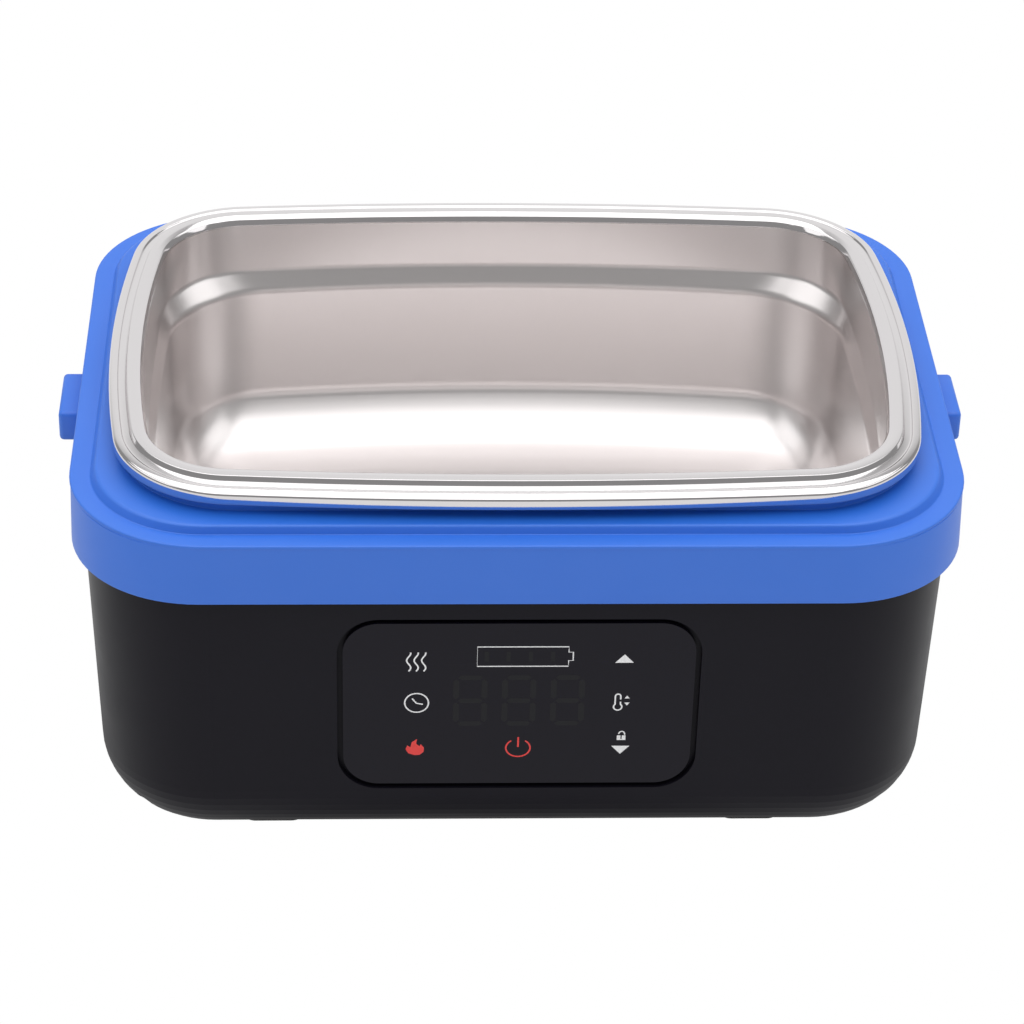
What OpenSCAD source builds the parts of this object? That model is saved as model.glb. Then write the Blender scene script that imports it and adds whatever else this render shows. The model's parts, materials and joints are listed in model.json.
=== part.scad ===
// Cordless electric lunch box: a steel food container standing in a heated,
// battery powered base. Millimetres, +Z up. The origin is on the table,
// under the middle of the base. Heights named *_lift are measured from the
// top of the frame's outer band.

/* [Overall] */
// Width of the blue frame over its outer band
frame_w = 240.4; // [236:0.2:260]
// Depth of the blue frame over its outer band
frame_d = 180.4; // [176:0.2:200]
// Corner radius of the outer band
frame_r = 37.3; // [34:0.1:40]
// Height of the moulded body from its underside to the frame's outer band
body_h = 104; // [98:0.1:120]

/* [Top frame] */
// Height of the skirt
skirt_h = 18.2; // [14:0.1:24]
// Corner radius of the skirt's top
skirt_r = 36; // [34:0.1:38]
// How far the skirt's top stands in from the band's edge
skirt_in = 0.3; // [0.2:0.1:1]
// How far the skirt leans out towards its lower edge
skirt_draft = 0.4; // [0.2:0.1:1]
// Wall of the skirt
skirt_wall = 2; // [1.6:0.1:2.2]
// Moulded wall of the frame
frame_wall = 2.4; // [1.8:0.1:3]
// Radius of the band's outer edge
band_edge_r = 0.8; // [0.6:0.1:1]
// Height of the band's outer edge
lip_h = 1.2; // [1.1:0.1:1.6]
// Width of the outer band, from the skirt to the foot of the step
band_w = 5.7; // [5:0.1:8]
// Height of the step
step_h = 2.5; // [1.6:0.1:4]
// Lean of the step's riser
step_lean = 1; // [0.5:0.1:2.5]
// How far a side lug stands out
lug_out = 6.6; // [3:0.1:8]
// Length of a side lug
lug_len = 22.3; // [14:0.1:30]
// Height of a side lug
lug_h = 9.2; // [6:0.1:10]
// Drop of a lug's top below the outer band
lug_drop = 8.2; // [6:0.1:8.5]
// Edge radius of a side lug
lug_r = 1.3; // [0.5:0.1:2]
// Corner radius of the opening
opening_r = 30; // [28.5:0.1:32]
// Width of the collar that the container's flange stands on
collar_w = 2.2; // [1.8:0.1:2.4]

/* [Food container] */
// Distance from the frame's side to the rolled rim, at the middle
rim_in_x = 8.1; // [7.7:0.1:12]
// Distance from the frame's front to the rolled rim, at the middle
rim_in_y = 8.2; // [7.7:0.1:12]
// Corner radius of the rolled rim
rim_r = 33.5; // [32:0.1:36]
// Lean of a long side's bow where it meets the corner, in degrees
long_lean = 4.0; // [2.5:0.1:5]
// Lean of a short side's bow where it meets the corner, in degrees
short_lean = 7.8; // [6:0.1:9]
// Thickness of the steel sheet
sheet = 0.7; // [0.5:0.05:0.9]
// Height of the flange over the outer band
flange_lift = 9; // [8.5:0.1:12]
// Width of the flange outside the ridge
flange_w = 5.8; // [5.2:0.1:6.4]
// Height of the ridge over the flange
ridge_h = 1.8; // [1:0.1:2.4]
// Width of the ridge
ridge_w = 4; // [3.4:0.1:4.4]
// Height of the rolled edge
curl_h = 2.7; // [2.2:0.1:3.2]
// Depth from the flange down to the ledge
upper_wall_h = 14; // [10:0.1:20]
// How far the ledge steps in
ledge_in = 3.6; // [2:0.1:4.5]
// Drop of the ledge
ledge_drop = 5.4; // [3:0.1:7]
// Depth from the flange down to the container's floor
bowl_depth = 68; // [60:0.5:70]
// Draft of the lower wall
bowl_draft = 1.7; // [0.5:0.1:2]
// Radius between wall and floor
bowl_floor_r = 10.5; // [8:0.1:12]

/* [Body] */
// How far the body's wall stands in from the band's edge
body_inset = 2.85; // [2.8:0.05:5]
// Corner radius of the body
body_r = 34.8; // [32:0.1:36]
// Draft of the body's wall over its height
body_draft = 3.15; // [1.5:0.05:3.5]
// Radius between wall and bottom
body_floor_r = 20; // [15:0.1:21]
// Wall of the body
body_wall = 2.6; // [2.2:0.1:3]
// Height of a rubber foot
foot_h = 3.2; // [2:0.1:4]
// Width of a rubber foot
foot_w = 18; // [14:0.5:24]
// Depth of a rubber foot
foot_d = 11; // [8:0.5:14]
// Distance from the body's side to a foot's middle
foot_in_x = 50.3; // [40:0.1:60]
// Distance from the body's front to a foot's middle
foot_in_y = 24.4; // [24:0.1:36]

/* [Heating well] */
// Clearance between the container and the well
well_gap = 0.6; // [0.5:0.05:0.8]
// Aluminium wall of the well
well_wall = 0.8; // [0.6:0.05:1]
// Width of the well's flange under the frame
well_flange_w = 3.2; // [2.8:0.1:3.4]
// Draft of the well's wall
well_draft = 3; // [2:0.1:3.5]
// Thickness of the foil heater
heater_t = 1.6; // [1:0.1:2]
// Thickness of the felt pad
felt_t = 3; // [2:0.1:4]
// Thickness of the clamp plate
clamp_t = 0.8; // [0.6:0.1:1.2]
// Distance from the well's bottom curve to the heater's edge
heater_in = 8; // [6:0.5:16]

/* [Control panel] */
// Width of the panel's recess
panel_w = 97.5; // [90:0.5:104]
// Height of the panel's recess
panel_h = 57.5; // [50:0.5:60]
// Corner radius of the recess
panel_r = 11.3; // [8:0.1:14]
// Groove between the recess and the window
panel_gap = 1.55; // [0.8:0.05:2]
// Depth of the recess
panel_depth = 2.1; // [1.8:0.1:2.3]
// Thickness of the window
window_t = 1.55; // [1.2:0.05:1.8]
// Thickness of the mounting tape
tape_t = 0.3; // [0.2:0.05:0.4]
// Drop of the panel's middle below the outer band
panel_drop = 54.3; // [48:0.1:56]

/* [Battery] */
// Diameter of a cell
cell_d = 18.4; // [18:0.1:18.6]
// Length of a cell
cell_l = 65.2; // [64:0.1:66]
// Pitch of the cells
cell_pitch = 19.4; // [19:0.1:20]
// Rows of cells
cell_rows = 3; // [2:1:3]

/* [Charging port] */
// Distance of the port from the middle
port_x = 58; // [40:1:70]
// Drop of the port below the outer band
port_drop = 66; // [60:1:70]
// Outer radius of the socket
socket_r = 5.5; // [4.5:0.1:6]
// Radius of the socket's bore
socket_bore_r = 2.9; // [2.5:0.1:3]
// Width of the dust cover
cover_w = 24; // [20:0.5:28]
// Height of the dust cover
cover_h = 16; // [14:0.5:18]
// Thickness of the dust cover
cover_t = 2; // [1.6:0.1:2.6]

/* [Hidden] */
$fn = 96;
fit = 0.3;

band_z = body_h + foot_h;
frame_hw = frame_w / 2;
frame_hd = frame_d / 2;

// Bowed outline of the rim: corner centres and side arcs.
long_t = tan(long_lean / 2);
short_t = tan(short_lean / 2);
rim_hw = frame_hw - rim_in_x;
rim_hd = frame_hd - rim_in_y;
rim_cx = ((rim_hw - rim_r) - short_t * (rim_hd - rim_r)) / (1 - long_t * short_t);
rim_cy = (rim_hd - rim_r) - long_t * rim_cx;
long_reach = rim_cx / sin(long_lean);
short_reach = rim_cy / sin(short_lean);

// Container heights, from the table
flange_z = band_z + flange_lift;
ridge_z = flange_z + ridge_h;
curl_z = flange_z - curl_h;
ledge_z = flange_z - upper_wall_h;
ledge_foot_z = ledge_z - ledge_drop;
bowl_z = flange_z - bowl_depth;
// Container reaches, from the corner centres
ridge_out = rim_r - flange_w;
upper_in = ridge_out - ridge_w;
lower_in = upper_in - ledge_in;
floor_in = lower_in - bowl_draft - bowl_floor_r;

// Frame
plate_z = band_z + step_h;
plate_low = plate_z - frame_wall;
band_low = band_z - frame_wall;
plate_in = 10.9;
well_hw = rim_hw - rim_r + upper_in + sheet + well_gap;
well_hd = rim_hd - rim_r + upper_in + sheet + well_gap;
opening_hw = well_hw + well_wall + 0.2;
opening_hd = well_hd + well_wall + 0.2;
well_r = opening_r - well_wall - 0.2;
collar_z = flange_z - sheet - fit;

// Well
gasket_t = 0.7;
well_top = plate_low - gasket_t;
well_floor = bowl_z - sheet - fit;
well_low = well_floor - well_wall;
well_floor_r = bowl_floor_r - 1;
well_c = well_r - well_draft - well_floor_r;
heater_w = 2 * (well_hw - well_r + well_c - heater_in);
heater_d = 2 * (well_hd - well_r + well_c - heater_in);
stud_in = 9;
stud_x = heater_w / 2 - stud_in;
stud_y = heater_d / 2 - stud_in;
stud_r = 1.5;
heater_z = well_low - heater_t;
felt_z = heater_z - felt_t;
clamp_z = felt_z - clamp_t;
nut_h = 2.4;
nut_w = 5.5;

// Body
seal_t = 1;
body_top = band_low - seal_t;
body_hw = frame_hw - body_inset;
body_hd = frame_hd - body_inset;
body_z = foot_h;
body_floor = body_z + body_wall;
draft_deg = atan(body_draft / (body_top - body_z));
function wall_in(z) = body_draft * (body_top - z) / (body_top - body_z);

// Corner columns, frame posts and case screws
column_x = frame_hw - 19;
column_y = frame_hd - 19;
column_r = 4;
column_top = band_z - 46;
case_screw_r = 1.5;
case_head_r = 2.8;
head_seat = column_top - 8;
case_screw_l = 20;

// Control panel
panel_z = band_z - panel_drop;
window_low = -panel_depth + tape_t;
pad_t = 2.2;
view_w = 78;
view_h = 40;
board_gap = 3;
board_t = 1.6;
display_w = 92;
display_h = 50;
display_top = -body_wall - pad_t - board_gap;
display_boss_x = display_w / 2 - 3.6;
display_boss_y = display_h / 2 - 3.4;
digit_w = 40;
digit_h = 19;
bar_w = 26;
bar_h = 6;
key_x = 27.5;
key_rows = [15.1, 0.5, -15.4];

// Room for the body's bottom curve, in front of the board and behind the cells
curve_room = 23.5;

// Main board
main_w = 116;
main_d = 46;
main_y = -(body_hd - curve_room - main_d / 2);
main_boss_h = 7;
main_z = body_floor + main_boss_h;
main_boss_x = main_w / 2 - 4;
main_boss_y = main_d / 2 - 4;

// Battery pack
tray_t = 2;
tray_side = 2.5;
pack_d = (cell_rows - 1) * cell_pitch + cell_d + 2 * tray_side;
pack_y = body_hd - curve_room - pack_d / 2;
cell_z = body_floor + tray_t + cell_d / 2;
cell_gap = 2.4;
cell_x = cell_l / 2 + cell_gap / 2;
strip_t = 0.3;

// Port
port_z = band_z - port_drop;
port_depth = 12;

// ---- outlines and sweeps -------------------------------------------------

function arc(x, y, r, from, to, n = 8) =
    [for (i = [0:n]) let (a = from + (to - from) * i / n) [x + r * cos(a), y + r * sin(a)]];

// Carries a profile round a rounded rectangle. The profile's x runs outward
// from the corner centres, so x = r lies on the outline.
module around(hw, hd, r) {
    for (mx = [0, 1], my = [0, 1])
        mirror([mx, 0, 0]) mirror([0, my, 0])
            translate([hw - r, hd - r, 0]) rotate_extrude(angle = 90) children();
    for (turn = [0, 180])
        rotate([0, 0, turn]) {
            translate([-(hw - r), hd - r, 0]) rotate([90, 0, 90])
                linear_extrude(2 * (hw - r)) children();
            translate([hw - r, hd - r, 0]) rotate([90, 0, 0])
                linear_extrude(2 * (hd - r)) children();
        }
}

// Stations round the bowed outline of the container. Each is a centre, the
// reach of the corner line from it, and a direction.
function stations() =
    let (long_y = rim_cy - rim_cx / tan(long_lean),
         short_x = rim_cx - rim_cy / tan(short_lean),
         right = [for (i = [-2:1]) [short_x, 0, short_reach, short_lean * i / 2]],
         corner = [for (i = [0:8])
             [rim_cx, rim_cy, 0, short_lean + (90 - long_lean - short_lean) * i / 9]],
         back = [for (i = [-3:0]) [0, long_y, long_reach, 90 + long_lean * i / 3]],
         quarter = concat([right[2], right[3]], corner, back),
         half = concat(quarter, [for (i = [len(quarter) - 2:-1:1]) flip_x(quarter[i])]))
    concat(half, [for (s = half) turn(s)]);
function flip_x(s) = [-s[0], s[1], s[2], 180 - s[3]];
function turn(s) = [-s[0], -s[1], s[2], 180 + s[3]];

// Solid drawn by a section that runs from the middle of one face to the
// middle of the other, carried round the bowed outline.
module bowed(section) {
    ring = stations();
    n = len(ring);
    m = len(section);
    points = [for (p = section, s = ring)
        [s[0] + (s[2] + p[0]) * cos(s[3]), s[1] + (s[2] + p[0]) * sin(s[3]), p[1]]];
    faces = concat(
        [[for (i = [0:n - 1]) n - 1 - i]],
        [for (j = [0:m - 2], i = [0:n - 1])
            let (k = (i + 1) % n) [j * n + i, j * n + k, (j + 1) * n + k, (j + 1) * n + i]],
        [[for (i = [0:n - 1]) (m - 1) * n + i]]);
    polyhedron(points, faces);
}

module rounded(w, d, r) {
    square([w - 2 * r, d], center = true);
    square([w, d - 2 * r], center = true);
    for (sx = [-1, 1], sy = [-1, 1]) translate([sx * (w / 2 - r), sy * (d / 2 - r)]) circle(r);
}

module slab(w, d, r, z, h) {
    translate([0, 0, z]) linear_extrude(h) rounded(w, d, r);
}

module drill(x, y, z, r, h) {
    translate([x, y, z]) cylinder(r = r, h = h);
}

// Frame of reference on the front wall: x right, y up, z out of the wall.
module on_front(z) {
    translate([0, -(body_hd - wall_in(z)), z]) rotate([90 + draft_deg, 0, 0]) children();
}

// The same on the rear wall, seen from behind.
module on_rear(z) {
    rotate([0, 0, 180]) on_front(z) children();
}

module screw(r, l, head_r, head_h) {
    translate([0, 0, -head_h / 2]) cylinder(r = r, h = l + head_h / 2);
    translate([0, 0, -head_h]) cylinder(r = head_r, h = head_h);
}

// Round lead along a list of points
function unit(v) = v / norm(v);
module lead(points, r, sides = 8) {
    n = len(points);
    dirs = [for (i = [0:n - 1]) unit(points[min(i + 1, n - 1)] - points[max(i - 1, 0)])];
    rings = [for (i = [0:n - 1])
        let (d = dirs[i],
            u = unit(cross(d, abs(d[2]) > 0.8 ? [1, 0, 0] : [0, 0, 1])),
            v = cross(d, u))
        for (k = [0:sides - 1]) points[i] + r * (u * cos(360 * k / sides) + v * sin(360 * k / sides))];
    faces = concat(
        [[for (k = [0:sides - 1]) k]],
        [for (i = [0:n - 2], k = [0:sides - 1])
            let (a = i * sides + k, b = i * sides + (k + 1) % sides) [a, a + sides, b + sides, b]],
        [[for (k = [sides - 1:-1:0]) (n - 1) * sides + k]]);
    polyhedron(rings, faces);
}

// ---- food container ------------------------------------------------------

// Section of the drawn sheet: underside from the floor up to the curl, then
// the top side back down to the floor.
function container_section() =
    let (lip = 0.6, bead = 1)
    concat(
        arc(floor_in, bowl_z + bowl_floor_r, bowl_floor_r + sheet, -90, 0, 7),
        [[lower_in + sheet, ledge_foot_z - 0.4], [upper_in + sheet, ledge_z - 0.4]],
        arc(upper_in + bead, ridge_z - bead, bead - sheet, 180, 90, 2),
        [[ridge_out - sheet, ridge_z - sheet],
         [ridge_out - sheet, flange_z - sheet],
         [rim_r - sheet, flange_z - sheet],
         [rim_r - sheet, curl_z + sheet],
         [rim_r - 2.2, curl_z + sheet],
         [rim_r - 2.2, curl_z],
         [rim_r - lip, curl_z],
         [rim_r, curl_z + lip]],
        arc(rim_r - lip, flange_z - lip, lip, 0, 90, 3),
        [[ridge_out, flange_z]],
        arc(ridge_out - lip, ridge_z - lip, lip, 0, 90, 3),
        arc(upper_in + bead, ridge_z - bead, bead, 90, 180, 4),
        [[upper_in, ledge_z], [lower_in, ledge_foot_z]],
        arc(floor_in, bowl_z + bowl_floor_r, bowl_floor_r, 0, -90, 7));

module food_container() {
    color([0.8, 0.79, 0.8]) bowed(container_section());
}

// ---- top frame -----------------------------------------------------------

// Outer band, step and the edge of the plate
module band_section() {
    e = band_edge_r;
    foot = frame_r - band_w;
    head = foot - step_lean;
    lip_in = 1.5;
    polygon(concat(
        [[frame_r - lip_in, band_low], [frame_r - lip_in, band_z - lip_h],
         [frame_r, band_z - lip_h]],
        arc(frame_r - e, band_z - e, e, 0, 90, 5),
        [[foot, band_z], [head + 0.5, plate_z - 0.4], [head, plate_z],
         [frame_r - plate_in - 2, plate_z], [frame_r - plate_in - 2, plate_low],
         [head - 0.9, plate_low], [head - 0.9, band_low]]));
}

module skirt_section() {
    head = band_z - lip_h + 0.3;
    polygon([[skirt_r, head], [skirt_r - skirt_wall, head],
             [skirt_r + skirt_draft - skirt_wall, band_z - skirt_h],
             [skirt_r + skirt_draft, band_z - skirt_h]]);
}

module lug() {
    root = 2;
    reach = lug_out + root;
    mid = band_z - lug_drop - lug_h / 2;
    translate([frame_hw - root, 0, mid])
        intersection() {
            rotate([90, 0, 90]) linear_extrude(reach) rounded(lug_len, lug_h, lug_r);
            translate([0, 0, -lug_h / 2]) linear_extrude(lug_h)
                rounded(2 * reach, lug_len, lug_r);
            translate([0, lug_len / 2, 0]) rotate([90, 0, 0]) linear_extrude(lug_len)
                rounded(2 * reach, lug_h, lug_r);
        }
}

module top_frame() {
    color([0.25, 0.47, 0.88])
        difference() {
            union() {
                around(frame_hw, frame_hd, frame_r) band_section();
                around(frame_hw - skirt_in, frame_hd - skirt_in, skirt_r) skirt_section();
                difference() {
                    slab(frame_w - 2 * plate_in, frame_d - 2 * plate_in, frame_r - plate_in,
                         plate_low, frame_wall);
                    slab(2 * opening_hw, 2 * opening_hd, opening_r, plate_low - 1, frame_wall + 2);
                }
                around(opening_hw, opening_hd, opening_r)
                    translate([opening_r, plate_low]) square([collar_w, collar_z - plate_low]);
                for (mx = [0, 1]) mirror([mx, 0, 0]) lug();
                for (sx = [-1, 1], sy = [-1, 1])
                    drill(sx * column_x, sy * column_y, column_top, column_r,
                          plate_low + 0.6 - column_top);
            }
            for (sx = [-1, 1], sy = [-1, 1])
                drill(sx * column_x, sy * column_y, column_top - 1, case_screw_r + 0.05,
                      case_screw_l - 6);
            for (p = well_screw_places())
                drill(p[0], p[1], plate_low - 1, well_screw_r + 0.05, 3.1);
        }
}

// ---- body ----------------------------------------------------------------

fillet_z = body_z + body_floor_r;
fillet_x = body_r - wall_in(fillet_z) - body_floor_r;

module shell_section() {
    inner = body_floor_r - body_wall;
    polygon(concat(
        [[body_r, body_top]],
        arc(fillet_x, fillet_z, body_floor_r, 0, -90, 12),
        [[fillet_x - 2, body_z], [fillet_x - 2, body_floor]],
        arc(fillet_x, fillet_z, inner, -90, 0, 12),
        [[body_r - body_wall, body_top]]));
}

module shell_tub() {
    around(body_hw, body_hd, body_r) shell_section();
    slab(2 * (body_hw - body_r + fillet_x), 2 * (body_hd - body_r + fillet_x), fillet_x,
         body_z, body_wall);
}

// Corner columns, cut to the body's rounded bottom
module columns() {
    for (mx = [0, 1], my = [0, 1])
        mirror([mx, 0, 0]) mirror([0, my, 0]) intersection() {
            drill(column_x, column_y, body_z, column_r, column_top - body_z);
            translate([body_hw - body_r, body_hd - body_r, 0])
                rotate_extrude(angle = 90) polygon(concat(
                    [[0, body_z]],
                    arc(fillet_x, fillet_z, body_floor_r - body_wall / 2, -90, 0, 12),
                    [[0, body_top]]));
        }
}

module shell_inside() {
    columns();
    for (sx = [-1, 1], sy = [-1, 1]) {
        drill(sx * main_boss_x, main_y + sy * main_boss_y, body_floor - 0.5, 2.8,
              main_boss_h + 0.5);
    }
    on_front(panel_z) translate([0, 0, -body_wall - pad_t]) {
        linear_extrude(pad_t + 0.5) rounded(panel_w + 6, panel_h + 5, panel_r);
        for (sx = [-1, 1], sy = [-1, 1])
            drill(sx * display_boss_x, sy * display_boss_y, -board_gap, 2.6, board_gap + 0.5);
    }
    on_rear(port_z) translate([port_x, 0, -body_wall - 2]) cylinder(r = 10, h = 2.5);
}

module outer_shell() {
    color([0.12, 0.12, 0.13])
        difference() {
            union() {
                shell_tub();
                shell_inside();
            }
            on_front(panel_z) {
                translate([0, 0, -panel_depth]) linear_extrude(5) rounded(panel_w, panel_h, panel_r);
                translate([0, 0, -8]) linear_extrude(10) rounded(view_w, view_h, 4);
                for (sx = [-1, 1], sy = [-1, 1])
                    drill(sx * display_boss_x, sy * display_boss_y,
                          display_top - 1, 1.15, -display_top - panel_depth - 0.8 + 1);
            }
            on_rear(port_z) translate([port_x, 0, 0]) {
                translate([0, 0, -8]) cylinder(r = socket_r + 0.05, h = 12);
                translate([0, 0, -1]) cylinder(r = socket_r + 1.6, h = 4);
                translate([0, anchor_y, -8]) cylinder(r = anchor_r + 0.05, h = 12);
            }
            for (sx = [-1, 1], sy = [-1, 1]) {
                drill(sx * column_x, sy * column_y, body_z - 1, case_head_r + 0.3,
                      head_seat - body_z + 1);
                drill(sx * column_x, sy * column_y, head_seat - 1, case_screw_r + 0.2, 12);
                drill(sx * main_boss_x, main_y + sy * main_boss_y, body_floor + 1, 1.05,
                      main_boss_h + 2);
            }
        }
}

module frame_seal() {
    color([0.3, 0.3, 0.32])
        around(body_hw, body_hd, body_r)
            translate([body_r - body_wall, body_top]) square([body_wall, seal_t]);
}

module rubber_feet() {
    edge = 0.6;
    color([0.16, 0.16, 0.17])
        for (sx = [-1, 1], sy = [-1, 1])
            translate([sx * (body_hw - foot_in_x), sy * (body_hd - foot_in_y), 0]) {
                slab(foot_w, foot_d, 4, edge, foot_h - edge);
                slab(foot_w - edge, foot_d - edge, 4 - edge / 2, 0, edge);
            }
}

module case_screws() {
    color([0.75, 0.75, 0.77])
        for (sx = [-1, 1], sy = [-1, 1])
            translate([sx * column_x, sy * column_y, head_seat])
                screw(case_screw_r, case_screw_l, case_head_r, 1.8);
}

// ---- heating well --------------------------------------------------------

well_screw_r = 1;
well_screw_l = 3.6;
well_screw_in = 1.5;

// Three screws on each long side of the flange, one on each short side
function well_screw_places() = concat(
    [for (sy = [-1, 1], i = [-1:1]) [i * opening_hw / 2, sy * (opening_hd + well_screw_in)]],
    [for (sx = [-1, 1]) [sx * (opening_hw + well_screw_in), 0]]);

module well_section() {
    flange = opening_r + well_flange_w;
    polygon(concat(
        [[flange, well_top], [well_r, well_top]],
        arc(well_c, well_floor + well_floor_r, well_floor_r, 0, -90, 8),
        [[well_c - 2, well_floor], [well_c - 2, well_low]],
        arc(well_c, well_floor + well_floor_r, well_floor_r + well_wall, -90, 0, 8),
        [[well_r + well_wall, well_top - well_wall], [flange, well_top - well_wall]]));
}

module heating_well() {
    color([0.72, 0.73, 0.75])
        difference() {
            union() {
                around(well_hw, well_hd, well_r) well_section();
                slab(2 * (well_hw - well_r + well_c), 2 * (well_hd - well_r + well_c), well_c,
                     well_low, well_wall);
                for (p = stud_places()) drill(p[0], p[1], clamp_z - nut_h - 1, stud_r,
                                              well_low - clamp_z + nut_h + 1.3);
            }
            for (p = well_screw_places())
                drill(p[0], p[1], well_top - 3, well_screw_r + 0.15, 5);
        }
}

module well_gasket() {
    color([0.9, 0.9, 0.88])
        difference() {
            around(opening_hw, opening_hd, opening_r)
                translate([opening_r + 0.2, well_top]) square([well_flange_w - 0.4, gasket_t]);
            for (p = well_screw_places())
                drill(p[0], p[1], well_top - 3, well_screw_r + 0.15, 5);
        }
}

module well_screws() {
    color([0.75, 0.75, 0.77])
        for (p = well_screw_places())
            translate([p[0], p[1], well_top - well_wall]) screw(well_screw_r, well_screw_l, 1.7, 1.2);
}

function stud_places() = [for (sx = [-1, 1], sy = [-1, 1]) [sx * stud_x, sy * stud_y]];

thermostat_r = 8;
sensor_x = 28;
sensor_r = 2.4;

// Sheet pressed against the underside of the well
module under_sheet(z, h, grow) {
    difference() {
        slab(heater_w + grow, heater_d + grow, 10, z, h);
        for (p = stud_places()) drill(p[0], p[1], z - 1, stud_r + 0.3, h + 2);
        drill(0, 0, z - 1, thermostat_r + 1.2, h + 2);
        drill(sensor_x, 0, z - 1, sensor_r + 0.6, h + 2);
    }
}

module foil_heater() { color([0.75, 0.3, 0.12]) under_sheet(heater_z, heater_t, 0); }
module felt_pad() { color([0.9, 0.89, 0.84]) under_sheet(felt_z, felt_t, 4); }
module clamp_plate() { color([0.66, 0.68, 0.7]) under_sheet(clamp_z, clamp_t, 0); }

module clamp_nuts() {
    color([0.78, 0.78, 0.8])
        for (p = stud_places())
            difference() {
                translate([p[0], p[1], clamp_z - nut_h])
                    cylinder(r = nut_w / sqrt(3), h = nut_h, $fn = 6);
                drill(p[0], p[1], clamp_z - nut_h - 1, stud_r + 0.05, nut_h + 2);
            }
}

module thermostat() {
    color([0.2, 0.2, 0.22]) {
        drill(0, 0, well_low - 7, thermostat_r, 7);
        for (s = [-1, 1])
            translate([s * 4 - 0.4, -3, well_low - 12]) cube([0.8, 6, 5.2]);
    }
}

module temp_sensor() {
    color([0.85, 0.8, 0.7]) {
        drill(sensor_x, 0, well_low - 8, sensor_r, 8);
        drill(sensor_x, 0, well_low - 11, 1, 3.2);
    }
}

// ---- control panel -------------------------------------------------------

module panel_window() {
    color([0.06, 0.06, 0.07])
        on_front(panel_z) translate([0, 0, window_low]) linear_extrude(window_t)
            rounded(panel_w - 2 * panel_gap, panel_h - 2 * panel_gap, panel_r - panel_gap);
}

module panel_tape() {
    tape_w = panel_w - 2 * panel_gap - 1;
    tape_h = panel_h - 2 * panel_gap - 1;
    color([0.85, 0.85, 0.8])
        on_front(panel_z) translate([0, 0, -panel_depth]) linear_extrude(tape_t)
            difference() {
                rounded(tape_w, tape_h, panel_r - panel_gap - 0.5);
                rounded(view_w + 2, view_h + 2, 4);
            }
}

module display_board() {
    color([0.1, 0.35, 0.2])
        on_front(panel_z) {
            difference() {
                translate([0, 0, display_top - board_t]) linear_extrude(board_t)
                    rounded(display_w, display_h, 2);
                for (sx = [-1, 1], sy = [-1, 1])
                    drill(sx * display_boss_x, sy * display_boss_y, display_top - 3, 1.3, 4);
            }
            translate([-11, -display_h / 2 + 1, display_top - board_t - 2]) cube([22, 5, 2.1]);
        }
}

digit_y = 1.4;
bar_y = 16.3;
bar_x = 1.4;

module digit_display() {
    color([0.1, 0.1, 0.11])
        on_front(panel_z) translate([-digit_w / 2, digit_y - digit_h / 2, display_top])
            cube([digit_w, digit_h, window_low - fit - display_top]);
}

module battery_bar_light() {
    color([0.92, 0.92, 0.9])
        on_front(panel_z) translate([bar_x - bar_w / 2, bar_y - bar_h / 2, display_top])
            cube([bar_w, bar_h, window_low - fit - display_top]);
}

// Middle of each touch key on the panel
function key_places() = concat(
    [for (y = key_rows) [-key_x, y]],
    [[0, key_rows[2]], [key_x, key_rows[0]], [key_x, key_rows[2]]]);

module touch_springs() {
    h = window_low - display_top;
    color([0.8, 0.75, 0.5])
        on_front(panel_z)
            for (p = key_places()) translate([p[0], p[1], display_top])
                difference() {
                    union() {
                        cylinder(r = 2.6, h = h);
                        translate([0, 0, h - 0.6]) cylinder(r = 3.2, h = 0.6);
                    }
                    translate([0, 0, 0.6]) cylinder(r = 1.9, h = h);
                }
}

module display_screws() {
    color([0.75, 0.75, 0.77])
        on_front(panel_z)
            for (sx = [-1, 1], sy = [-1, 1])
                translate([sx * display_boss_x, sy * display_boss_y, display_top - board_t])
                    screw(1.1, 5.6, 1.9, 1.2);
}

// ---- main board ----------------------------------------------------------

module main_board() {
    color([0.1, 0.35, 0.2])
        difference() {
            translate([0, main_y, main_z]) linear_extrude(board_t) rounded(main_w, main_d, 2);
            for (sx = [-1, 1], sy = [-1, 1])
                drill(sx * main_boss_x, main_y + sy * main_boss_y, main_z - 1, 1.2, 4);
        }
}

main_top = main_z + board_t;

module board_parts() {
    module chip(x, y, w, d, h) translate([x - w / 2, main_y + y - d / 2, main_top]) cube([w, d, h]);
    module can(x, y, r, h) drill(x, main_y + y, main_top, r, h);
    color([0.13, 0.13, 0.14]) {
        chip(-8, 4, 10, 10, 1.6);
        chip(14, 8, 6, 5, 1.4);
        chip(30, 2, 12, 12, 6);
        for (x = [-44, -34]) can(x, 6, 4, 11);
        can(-24, -6, 3.2, 9);
        for (x = [40, 48]) chip(x, -8, 6.5, 9, 2.3);
        chip(-46, -12, 12, 8, 6);
        chip(0, -19, 20, 5, 3);
        chip(46, 14, 10, 7, 7);
    }
}

module buzzer() {
    color([0.15, 0.15, 0.16])
        difference() {
            drill(16, main_y - 8, main_top, 5, 5.5);
            drill(16, main_y - 8, main_top + 4, 0.9, 3);
        }
}

module board_screws() {
    color([0.75, 0.75, 0.77])
        for (sx = [-1, 1], sy = [-1, 1])
            translate([sx * main_boss_x, main_y + sy * main_boss_y, main_top])
                rotate([180, 0, 0]) screw(1, 6.5, 1.9, 1.2);
}

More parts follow.
